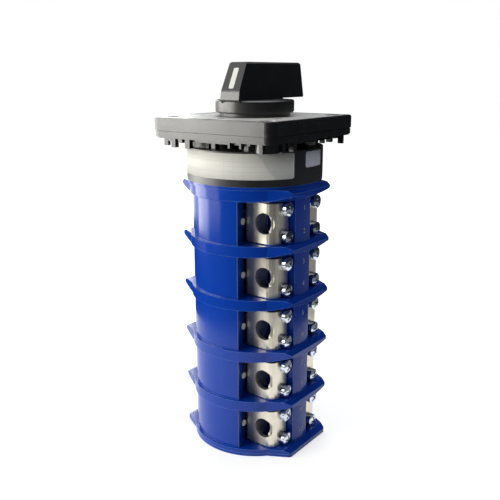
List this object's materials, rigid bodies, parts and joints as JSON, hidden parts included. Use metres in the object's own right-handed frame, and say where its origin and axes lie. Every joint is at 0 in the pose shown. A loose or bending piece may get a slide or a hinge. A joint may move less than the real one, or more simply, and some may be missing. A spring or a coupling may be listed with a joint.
{
  "type": "rotary transfer switch",
  "caption": "Panel-mounted rotary cam transfer switch: a handle turns a shaft whose cams close double-break contacts in a stack of terminal stages.",
  "frame": {"origin": "centre of the shaft at the underside of the end plate", "axes": "+Z along the shaft towards the handle, -Y the way the pointer shows at rest, +X the terminal side"},
  "size_m": [0.088, 0.088, 0.2388],
  "materials": {
    "housing": "gloss",
    "drum": "satin",
    "front": "satin",
    "legend": "satin",
    "mark": "gloss",
    "pin": "gloss",
    "terminal": "nickel plated, satin",
    "clamp": "zinc plated",
    "screw": "zinc plated, bright",
    "steel": "bright",
    "spring": "bright",
    "copper": "satin",
    "cam": "matte",
    "carrier": "matte",
    "star": "matte"
  },
  "bodies": {
    "base": {"end_plate": "housing", "stack_cover": "housing", "tie_bolts": "steel", "tie_nuts": "steel", "mechanism_housing": "drum", "mechanism_lid": "drum", "index_springs": "spring", "mounting_plate": "front", "body_screws": "screw", "front_plate": "front", "legend_plate": "legend", "terminal_pins": "pin", "stage_housing_1": "housing", "terminals_1": "terminal", "clamp_plates_1": "clamp", "clamp_screws_1": "screw", "contact_spring_1": "spring", "stage_housing_2": "housing", "terminals_2": "terminal", "clamp_plates_2": "clamp", "clamp_screws_2": "screw", "contact_spring_2": "spring", "stage_housing_3": "housing", "terminals_3": "terminal", "clamp_plates_3": "clamp", "clamp_screws_3": "screw", "contact_spring_3": "spring", "stage_housing_4": "housing", "terminals_4": "terminal", "clamp_plates_4": "clamp", "clamp_screws_4": "screw", "contact_spring_4": "spring", "stage_housing_5": "housing", "terminals_5": "terminal", "clamp_plates_5": "clamp", "clamp_screws_5": "screw", "contact_spring_5": "spring"},
    "rotor": {"shaft": "steel", "index_star": "star", "handle": "front", "handle_mark": "mark", "handle_screw": "screw", "cam_1": "cam", "cam_2": "cam", "cam_3": "cam", "cam_4": "cam", "cam_5": "cam"},
    "carrier_1": {"bridge_carrier_1": "carrier", "contact_bridge_1": "copper"},
    "carrier_2": {"bridge_carrier_2": "carrier", "contact_bridge_2": "copper"},
    "carrier_3": {"bridge_carrier_3": "carrier", "contact_bridge_3": "copper"},
    "carrier_4": {"bridge_carrier_4": "carrier", "contact_bridge_4": "copper"},
    "carrier_5": {"bridge_carrier_5": "carrier", "contact_bridge_5": "copper"},
    "slider_1": {"index_slider_1": "carrier"},
    "slider_2": {"index_slider_2": "carrier"}
  },
  "joints": [
    {"name": "handle_turn", "type": "hinge", "parent": "base", "child": "rotor", "pos_m": [0, 0, 0], "axis": [0, 0, 1], "range_deg": [-60, 60]},
    {"name": "carrier_slide_1", "type": "slide", "parent": "base", "child": "carrier_1", "axis": [-1, 0, 0], "range_m": [-0.002, 0.002], "deforming": ["contact_spring_1"]},
    {"name": "carrier_slide_2", "type": "slide", "parent": "base", "child": "carrier_2", "axis": [-1, 0, 0], "range_m": [-0.002, 0.002], "deforming": ["contact_spring_2"]},
    {"name": "carrier_slide_3", "type": "slide", "parent": "base", "child": "carrier_3", "axis": [-1, 0, 0], "range_m": [-0.002, 0.002], "deforming": ["contact_spring_3"]},
    {"name": "carrier_slide_4", "type": "slide", "parent": "base", "child": "carrier_4", "axis": [-1, 0, 0], "range_m": [-0.002, 0.002], "deforming": ["contact_spring_4"]},
    {"name": "carrier_slide_5", "type": "slide", "parent": "base", "child": "carrier_5", "axis": [-1, 0, 0], "range_m": [-0.002, 0.002], "deforming": ["contact_spring_5"]},
    {"name": "slider_1_slide", "type": "slide", "parent": "base", "child": "slider_1", "axis": [-1, 0, 0], "range_m": [0, 0.0015]},
    {"name": "slider_2_slide", "type": "slide", "parent": "base", "child": "slider_2", "axis": [1, 0, 0], "range_m": [0, 0.0015]}
  ],
  "couplings": [
    {"joint": "carrier_slide_1", "follows": "handle_turn", "m_per_rad": -0.0019},
    {"joint": "carrier_slide_2", "follows": "handle_turn", "m_per_rad": 0.0019},
    {"joint": "carrier_slide_3", "follows": "handle_turn", "m_per_rad": -0.0019},
    {"joint": "carrier_slide_4", "follows": "handle_turn", "m_per_rad": 0.0019},
    {"joint": "carrier_slide_5", "follows": "handle_turn", "m_per_rad": -0.0019}
  ]
}
